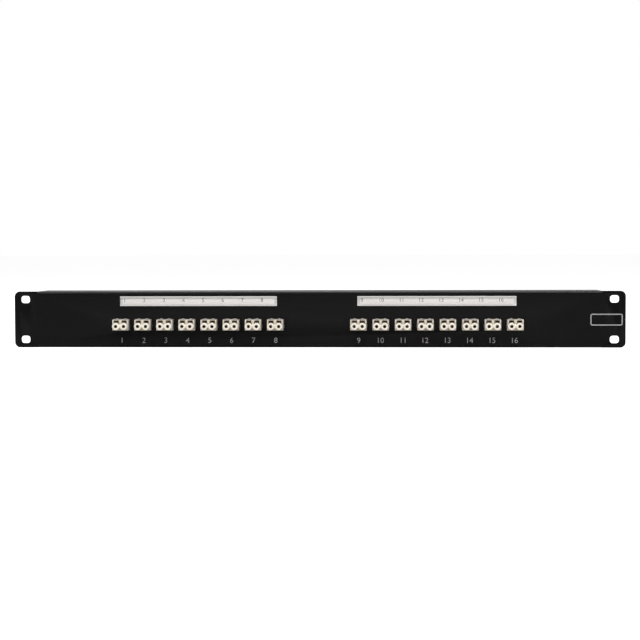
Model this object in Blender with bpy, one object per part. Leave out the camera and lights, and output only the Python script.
"""One-unit 19-inch rack panel with sixteen duplex fibre couplers.

The frame: +X to the right along the panel, +Y away from the viewer into the rack, +Z up.
The origin is below the middle of the whole assembly, at the level of the panel's lower edge.
All lengths are in metres.
"""

import math

import bmesh
import bpy
from mathutils import Matrix, Vector

# The folded sheet-metal panel
PANEL_WIDTH = 0.4826
PANEL_HEIGHT = 0.04445
SHEET = 0.0016
CHANNEL_WIDTH = 0.446
CHANNEL_DEPTH = 0.038
BEND_RADIUS = 0.0022
BEND_STEPS = 5
EAR_CORNER = 0.0042
RELIEF_WIDTH = 0.00015
RELIEF_DEPTH = 0.0028
NECK_OVERLAP = 0.002

# The rack slots in the ears
SLOT_SPACING_X = 0.4651
SLOT_SPACING_Z = 0.03175
SLOT_LENGTH = 0.0071
SLOT_HEIGHT = 0.0058
SLOT_CORNER = 0.0022
CORNER_STEPS = 4

# The ports
PORTS_PER_GROUP = 8
PORT_PITCH = 0.0175
GROUP_OFFSET = 0.094
BORE_HEIGHT = 0.0170
BORE_SPACING = 0.00625

# One duplex coupler, measured from its bores' level and from the panel's front face
HOUSING_WIDTH = 0.0123
HOUSING_TOP = 0.0052
HOUSING_BOTTOM = -0.0031
HOUSING_FRONT = -0.0085
HOUSING_BACK = 0.0200
COLLAR_WIDTH = 0.0152
COLLAR_RISE = 0.0016
COLLAR_LENGTH = 0.0020
CUTOUT_GAP = 0.00035
FIT_GAP = 0.0003

# The two sockets in each end of a coupler, and the sleeve tubes inside them
SOCKET_WIDTH = 0.0050
SOCKET_HALF_HEIGHT = 0.0025
LATCH_WIDTH = 0.0041
LATCH_TOP = 0.0046
SOCKET_DEPTH = 0.0115
SOCKET_OVERCUT = 0.001
SLEEVE_RADIUS = 0.00140
SLEEVE_BORE = 0.00075
SLEEVE_SETBACK = 0.0035
SLEEVE_SEGMENTS = 8

# The dust caps
CAP_HEAD_RADIUS = 0.0029
CAP_TUBE_RADIUS = 0.0023
CAP_HOLE_RADIUS = 0.00115
CAP_HOLE_DEPTH = 0.0052
CAP_SOCKET_RADIUS = 0.00165
CAP_PROUD = 0.0030
CAP_INSERTION = 0.0080
CAP_SEGMENTS = 12
WEB_TOP = 0.0013
WEB_BOTTOM = -0.0012
WEB_FRONT_SETBACK = 0.0008
WEB_BACK_SETBACK = 0.0004

# The spring clips that hold the couplers
CLIP_GAP = 0.00012
CLIP_SHEET = 0.00028
CLIP_FRONT = -0.0050
CLIP_BACK = -0.0004
CLIP_LEG_END = -0.0030
ARCH_WIDTH = 0.0042
ARCH_RISE = 0.0004
ARCH_STEPS = 4
WING_START = 0.0006
WING_ROOT = 0.0010
WING_REACH = 0.0004
WING_RISE = 0.0012
WING_DROP = -0.0014

# The label strips
HOLDER_LENGTH = 0.1245
HOLDER_HEIGHT = 0.0076
HOLDER_DEPTH = 0.0023
HOLDER_BOTTOM = 0.0329
HOLDER_WALL = 0.0007
CARD_LENGTH = 0.1205
CARD_THICKNESS = 0.0003

# Faces that meet at a sharper turn than this are shaded with an edge between them
SHARP_ANGLE = math.radians(40)

# The whole assembly's middle depth is at Y = 0
CAP_FRONT = HOUSING_FRONT - CAP_PROUD
CAP_SEAT = HOUSING_FRONT - FIT_GAP
PANEL_Y = -(CAP_FRONT + CHANNEL_DEPTH) / 2

COLOURS = {
    "powder_coat": ((0.012, 0.012, 0.013), 0.45, 0.0),
    "coupler_plastic": ((0.74, 0.62, 0.46), 0.42, 0.0),
    "cap_plastic": ((0.84, 0.74, 0.60), 0.50, 0.0),
    "spring_steel": ((0.45, 0.45, 0.46), 0.35, 1.0),
    "clear_plastic": ((0.80, 0.82, 0.83), 0.15, 0.0),
    "card": ((0.72, 0.72, 0.71), 0.85, 0.0),
}


def material(name):
    """The named Principled material, made on first use."""
    found = bpy.data.materials.get(name)
    if found:
        return found
    colour, roughness, metallic = COLOURS[name]
    made = bpy.data.materials.new(name)
    made.use_nodes = True
    shader = made.node_tree.nodes["Principled BSDF"]
    shader.inputs["Base Color"].default_value = (*colour, 1.0)
    shader.inputs["Roughness"].default_value = roughness
    shader.inputs["Metallic"].default_value = metallic
    return made


def arc(centre, radius, start, end, steps):
    """Points along an arc, with angles in degrees, ends included."""
    points = []
    for i in range(steps + 1):
        angle = math.radians(start + (end - start) * i / steps)
        points.append((centre[0] + radius * math.cos(angle), centre[1] + radius * math.sin(angle)))
    return points


def rounded_rectangle(width, height, corner, steps):
    """A rectangle centred on the origin with all four corners rounded."""
    x, y = width / 2 - corner, height / 2 - corner
    outline = []
    for turn, (cx, cy) in enumerate([(x, y), (-x, y), (-x, -y), (x, -y)]):
        outline += arc((cx, cy), corner, 90 * turn, 90 * turn + 90, steps)
    return outline


def add_box(bm, low, high):
    """Add a cuboid between two corners."""
    size = Vector(high) - Vector(low)
    middle = (Vector(high) + Vector(low)) / 2
    matrix = Matrix.Translation(middle) @ Matrix.Diagonal((*size, 1.0))
    bmesh.ops.create_cube(bm, size=1.0, matrix=matrix)


def add_prism(bm, outline, start, end, place):
    """Extrude a flat outline; place(u, v, w) turns outline and depth into a point."""
    bottom = [bm.verts.new(place(u, v, start)) for u, v in outline]
    top = [bm.verts.new(place(u, v, end)) for u, v in outline]
    count = len(outline)
    bm.faces.new(bottom[::-1])
    bm.faces.new(top)
    for i in range(count):
        j = (i + 1) % count
        bm.faces.new([bottom[i], bottom[j], top[j], top[i]])


def facing_front(u, v, w):
    """The outline lies in X and Z, and the depth runs along Y."""
    return (u, w, v)


def facing_side(u, v, w):
    """The outline lies in Y and Z, and the depth runs along X."""
    return (w, u, v)


def facing_up(u, v, w):
    """The outline lies in X and Y, and the depth runs along Z."""
    return (u, v, w)


def add_turned(bm, profile, segments, centre):
    """Turn a profile of (radius, y) points, which starts and ends on the axis, about Y."""
    rings = []
    for radius, y in profile:
        if radius == 0:
            rings.append([bm.verts.new((centre[0], y, centre[1]))])
            continue
        ring = []
        for i in range(segments):
            angle = 2 * math.pi * i / segments
            x = centre[0] + radius * math.cos(angle)
            z = centre[1] + radius * math.sin(angle)
            ring.append(bm.verts.new((x, y, z)))
        rings.append(ring)
    for ring, following in zip(rings, rings[1:]):
        for i in range(segments):
            corners = [ring[i % len(ring)], ring[(i + 1) % len(ring)]]
            corners += [following[(i + 1) % len(following)], following[i % len(following)]]
            bm.faces.new(list(dict.fromkeys(corners)))


def new_object(name, bm, look):
    """Make an object from a bmesh, with its faces pointing out."""
    bmesh.ops.recalc_face_normals(bm, faces=bm.faces)
    mesh = bpy.data.meshes.new(name)
    bm.to_mesh(mesh)
    bm.free()
    mesh.materials.append(material(look))
    made = bpy.data.objects.new(name, mesh)
    bpy.context.scene.collection.objects.link(made)
    return made


def combine(target, tool, operation):
    """Join a tool to the target, or cut it out of the target, and hide the tool."""
    modifier = target.modifiers.new(f"{operation.lower()}_{tool.name}", "BOOLEAN")
    modifier.operation = operation
    modifier.object = tool
    tool.hide_render = True
    tool.display_type = "WIRE"


def finished_mesh(source, name):
    """The mesh of an object with its modifiers applied, for copies to share."""
    bpy.context.view_layer.update()
    shaped = source.evaluated_get(bpy.context.evaluated_depsgraph_get())
    mesh = bpy.data.meshes.new_from_object(shaped)
    mesh.name = name
    mesh.shade_smooth()
    mesh.set_sharp_from_angle(angle=SHARP_ANGLE)
    return mesh


def discard(*objects):
    """Remove the objects that a shared mesh was made from."""
    for each in objects:
        bpy.data.objects.remove(each)


def place_copy(name, mesh, location):
    """Place one more object that shares a mesh."""
    made = bpy.data.objects.new(name, mesh)
    made.location = location
    bpy.context.scene.collection.objects.link(made)
    return made


def port_positions():
    """The middle of each port at the panel's front face, left to right."""
    places = []
    for side in (-1, 1):
        first = side * GROUP_OFFSET - PORT_PITCH * (PORTS_PER_GROUP - 1) / 2
        for i in range(PORTS_PER_GROUP):
            places.append(Vector((first + i * PORT_PITCH, PANEL_Y, BORE_HEIGHT)))
    return places


# --- the panel ---------------------------------------------------------------


def channel_profile():
    """The folded channel's section in Y and Z: front wall with a flange above and below."""
    inner = BEND_RADIUS - SHEET
    middle_y = PANEL_Y + BEND_RADIUS
    back = PANEL_Y + CHANNEL_DEPTH
    low = (middle_y, BEND_RADIUS)
    high = (middle_y, PANEL_HEIGHT - BEND_RADIUS)
    outline = [(back, PANEL_HEIGHT)]
    outline += arc(high, BEND_RADIUS, 90, 180, BEND_STEPS)
    outline += arc(low, BEND_RADIUS, 180, 270, BEND_STEPS)
    outline += [(back, 0.0), (back, SHEET)]
    outline += arc(low, inner, 270, 180, BEND_STEPS)
    outline += arc(high, inner, 180, 90, BEND_STEPS)
    outline += [(back, PANEL_HEIGHT - SHEET)]
    return outline


def ear_outline(side):
    """One mounting ear in X and Z, with a neck between the relief notches of the folds."""
    neck = CHANNEL_WIDTH / 2 - NECK_OVERLAP
    inner = CHANNEL_WIDTH / 2 + RELIEF_WIDTH
    corner_x = PANEL_WIDTH / 2 - EAR_CORNER
    top = PANEL_HEIGHT
    outline = [(neck, RELIEF_DEPTH), (inner, RELIEF_DEPTH), (inner, 0.0)]
    outline += arc((corner_x, EAR_CORNER), EAR_CORNER, 270, 360, BEND_STEPS)
    outline += arc((corner_x, top - EAR_CORNER), EAR_CORNER, 0, 90, BEND_STEPS)
    outline += [(inner, top), (inner, top - RELIEF_DEPTH), (neck, top - RELIEF_DEPTH)]
    return [(side * x, z) for x, z in outline]


def panel_cutter():
    """Everything that is punched out of the front: coupler windows and rack slots."""
    bm = bmesh.new()
    front, back = PANEL_Y - SHEET, PANEL_Y + 2 * SHEET
    half = HOUSING_WIDTH / 2 + CUTOUT_GAP
    for port in port_positions():
        low = (port.x - half, front, BORE_HEIGHT + HOUSING_BOTTOM - CUTOUT_GAP)
        high = (port.x + half, back, BORE_HEIGHT + HOUSING_TOP + CUTOUT_GAP)
        add_box(bm, low, high)
    slot = rounded_rectangle(SLOT_LENGTH, SLOT_HEIGHT, SLOT_CORNER, CORNER_STEPS)
    for x in (-SLOT_SPACING_X / 2, SLOT_SPACING_X / 2):
        for z in (-SLOT_SPACING_Z / 2, SLOT_SPACING_Z / 2):
            outline = [(x + u, PANEL_HEIGHT / 2 + z + v) for u, v in slot]
            add_prism(bm, outline, front, back, facing_front)
    return new_object("punches", bm, "powder_coat")


def build_panel():
    """The panel itself: one sheet, folded into a channel, with a flat ear at each end."""
    bm = bmesh.new()
    add_prism(bm, channel_profile(), -CHANNEL_WIDTH / 2, CHANNEL_WIDTH / 2, facing_side)
    panel = new_object("front_panel", bm, "powder_coat")
    for side, name in ((-1, "left_ear"), (1, "right_ear")):
        bm = bmesh.new()
        add_prism(bm, ear_outline(side), PANEL_Y, PANEL_Y + SHEET, facing_front)
        combine(panel, new_object(name, bm, "powder_coat"), "UNION")
    combine(panel, panel_cutter(), "DIFFERENCE")


# --- the couplers ------------------------------------------------------------


def socket_outline(bore_x):
    """One socket's mouth: a square for the plug under a narrower recess for its latch."""
    wide, narrow = SOCKET_WIDTH / 2, LATCH_WIDTH / 2
    half = [(wide, -SOCKET_HALF_HEIGHT), (wide, SOCKET_HALF_HEIGHT)]
    half += [(narrow, SOCKET_HALF_HEIGHT), (narrow, LATCH_TOP)]
    mirrored = [(-x, z) for x, z in reversed(half)]
    return [(bore_x + x, z) for x, z in half + mirrored]


def socket_cutter():
    """The four sockets of a coupler, two in each end."""
    bm = bmesh.new()
    front = (HOUSING_FRONT - SOCKET_OVERCUT, HOUSING_FRONT + SOCKET_DEPTH)
    back = (HOUSING_BACK - SOCKET_DEPTH, HOUSING_BACK + SOCKET_OVERCUT)
    for bore_x in (-BORE_SPACING / 2, BORE_SPACING / 2):
        for start, end in (front, back):
            add_prism(bm, socket_outline(bore_x), start, end, facing_front)
    return new_object("sockets", bm, "coupler_plastic")


def sleeve_tubes(radius, front, back, name):
    """A pair of round rods along the bores, either the sleeves or what is drilled out of them."""
    bm = bmesh.new()
    profile = [(0, front), (radius, front), (radius, back), (0, back)]
    for bore_x in (-BORE_SPACING / 2, BORE_SPACING / 2):
        add_turned(bm, profile, SLEEVE_SEGMENTS, (bore_x, 0))
    return new_object(name, bm, "coupler_plastic")


def coupler_mesh():
    """A duplex coupler: housing, collar behind the panel, sockets and sleeve tubes."""
    half = HOUSING_WIDTH / 2
    bm = bmesh.new()
    add_box(bm, (-half, HOUSING_FRONT, HOUSING_BOTTOM), (half, HOUSING_BACK, HOUSING_TOP))
    body = new_object("coupler_body", bm, "coupler_plastic")

    bm = bmesh.new()
    front = SHEET + FIT_GAP
    low = (-COLLAR_WIDTH / 2, front, HOUSING_BOTTOM - COLLAR_RISE)
    high = (COLLAR_WIDTH / 2, front + COLLAR_LENGTH, HOUSING_TOP + COLLAR_RISE)
    add_box(bm, low, high)
    collar = new_object("coupler_collar", bm, "coupler_plastic")

    sockets = socket_cutter()
    tip, tail = HOUSING_FRONT + SLEEVE_SETBACK, HOUSING_BACK - SLEEVE_SETBACK
    sleeves = sleeve_tubes(SLEEVE_RADIUS, tip, tail, "sleeves")
    bores = sleeve_tubes(SLEEVE_BORE, tip - SHEET, tail + SHEET, "bores")
    combine(body, collar, "UNION")
    combine(body, sockets, "DIFFERENCE")
    combine(body, sleeves, "UNION")
    combine(body, bores, "DIFFERENCE")
    mesh = finished_mesh(body, "coupler")
    discard(body, collar, sockets, sleeves, bores)
    return mesh


# --- the spring clips --------------------------------------------------------


def clip_roof(level):
    """One side of the strip over the housing, right to left, with a low arch over each latch."""
    points = []
    for bore_x in (BORE_SPACING / 2, -BORE_SPACING / 2):
        for i in range(ARCH_STEPS + 1):
            along = i / ARCH_STEPS
            rise = ARCH_RISE * math.sin(math.pi * along)
            points.append((bore_x + ARCH_WIDTH * (0.5 - along), level + rise))
    return points


def clip_saddle():
    """The clip's bent strip, which lies over the housing and down both of its sides."""
    inside = HOUSING_WIDTH / 2 + CLIP_GAP
    outside = inside + CLIP_SHEET
    under = HOUSING_TOP + CLIP_GAP
    over = under + CLIP_SHEET
    outline = [(outside, CLIP_LEG_END), (outside, over), *clip_roof(over)]
    outline += [(-outside, over), (-outside, CLIP_LEG_END)]
    outline += [(-inside, CLIP_LEG_END), (-inside, under), *reversed(clip_roof(under))]
    outline += [(inside, under), (inside, CLIP_LEG_END)]
    bm = bmesh.new()
    add_prism(bm, outline, CLIP_FRONT, CLIP_BACK, facing_front)
    return new_object("clip_saddle", bm, "spring_steel")


def clip_wing(side):
    """The spring tongue on one side, which leans out towards the panel."""
    root = HOUSING_WIDTH / 2 + CLIP_GAP + CLIP_SHEET / 2
    tip = root + CLIP_SHEET / 2 + WING_REACH
    start = CLIP_FRONT + WING_START
    wing = [(root, start), (tip, CLIP_BACK - CLIP_SHEET), (tip, CLIP_BACK), (root, start + WING_ROOT)]
    bm = bmesh.new()
    add_prism(bm, [(side * x, y) for x, y in wing], WING_DROP, WING_RISE, facing_up)
    return new_object("clip_wing", bm, "spring_steel")


def clip_mesh():
    """A saddle of thin spring steel over the housing, with a wing on each side."""
    clip = clip_saddle()
    wings = [clip_wing(-1), clip_wing(1)]
    for wing in wings:
        combine(clip, wing, "UNION")
    mesh = finished_mesh(clip, "clip")
    discard(clip, *wings)
    return mesh


# --- the dust caps -----------------------------------------------------------


def cap_tube(side):
    """One headed tube of a dust cap, with a blind hole in front and a pocket behind."""
    tip = HOUSING_FRONT + CAP_INSERTION
    pocket = HOUSING_FRONT + SLEEVE_SETBACK - FIT_GAP
    profile = [(0, CAP_FRONT + CAP_HOLE_DEPTH), (CAP_HOLE_RADIUS, CAP_FRONT + CAP_HOLE_DEPTH)]
    profile += [(CAP_HOLE_RADIUS, CAP_FRONT), (CAP_HEAD_RADIUS, CAP_FRONT)]
    profile += [(CAP_HEAD_RADIUS, CAP_SEAT), (CAP_TUBE_RADIUS, CAP_SEAT), (CAP_TUBE_RADIUS, tip)]
    profile += [(CAP_SOCKET_RADIUS, tip), (CAP_SOCKET_RADIUS, pocket), (0, pocket)]
    bm = bmesh.new()
    add_turned(bm, profile, CAP_SEGMENTS, (side * BORE_SPACING / 2, 0))
    return new_object("cap_tube", bm, "cap_plastic")


def cap_web():
    """The short bar that joins the two heads of a dust cap."""
    reach = (BORE_SPACING - CAP_HEAD_RADIUS - CAP_HOLE_RADIUS) / 2
    low = (-reach, CAP_FRONT + WEB_FRONT_SETBACK, WEB_BOTTOM)
    high = (reach, CAP_SEAT - WEB_BACK_SETBACK, WEB_TOP)
    bm = bmesh.new()
    add_box(bm, low, high)
    return new_object("cap_web", bm, "cap_plastic")


def cap_mesh():
    """A duplex dust cap: two headed tubes that slide over the sleeves, joined by a web."""
    left, right, web = cap_tube(-1), cap_tube(1), cap_web()
    combine(left, web, "UNION")
    combine(left, right, "UNION")
    mesh = finished_mesh(left, "dust_cap")
    discard(left, right, web)
    return mesh


# --- the label strips --------------------------------------------------------


def build_label(side, word):
    """A clear channel stuck to the panel, open at both ends, and the card that slides in it."""
    back = PANEL_Y - FIT_GAP
    centre = Vector((side * GROUP_OFFSET, back - HOLDER_DEPTH / 2, HOLDER_BOTTOM + HOLDER_HEIGHT / 2))
    slot_depth = HOLDER_DEPTH - 2 * HOLDER_WALL
    slot_height = HOLDER_HEIGHT - 2 * HOLDER_WALL

    bm = bmesh.new()
    half = Vector((HOLDER_LENGTH, HOLDER_DEPTH, HOLDER_HEIGHT)) / 2
    add_box(bm, centre - half, centre + half)
    holder = new_object(f"label_holder_{word}", bm, "clear_plastic")

    bm = bmesh.new()
    half = Vector((HOLDER_LENGTH + 2 * SHEET, slot_depth, slot_height)) / 2
    add_box(bm, centre - half, centre + half)
    combine(holder, new_object(f"card_slot_{word}", bm, "clear_plastic"), "DIFFERENCE")

    bm = bmesh.new()
    half = Vector((CARD_LENGTH, CARD_THICKNESS, slot_height - 2 * FIT_GAP)) / 2
    add_box(bm, centre - half, centre + half)
    new_object(f"label_card_{word}", bm, "card")


def main():
    """Clear the scene and build the whole assembly."""
    for old in list(bpy.data.objects):
        bpy.data.objects.remove(old)
    shared = {"adapter": coupler_mesh(), "clip": clip_mesh(), "dust_cap": cap_mesh()}
    build_panel()
    for number, port in enumerate(port_positions(), start=1):
        for kind, mesh in shared.items():
            place_copy(f"{kind}_{number:02d}", mesh, port)
    build_label(-1, "left")
    build_label(1, "right")


main()
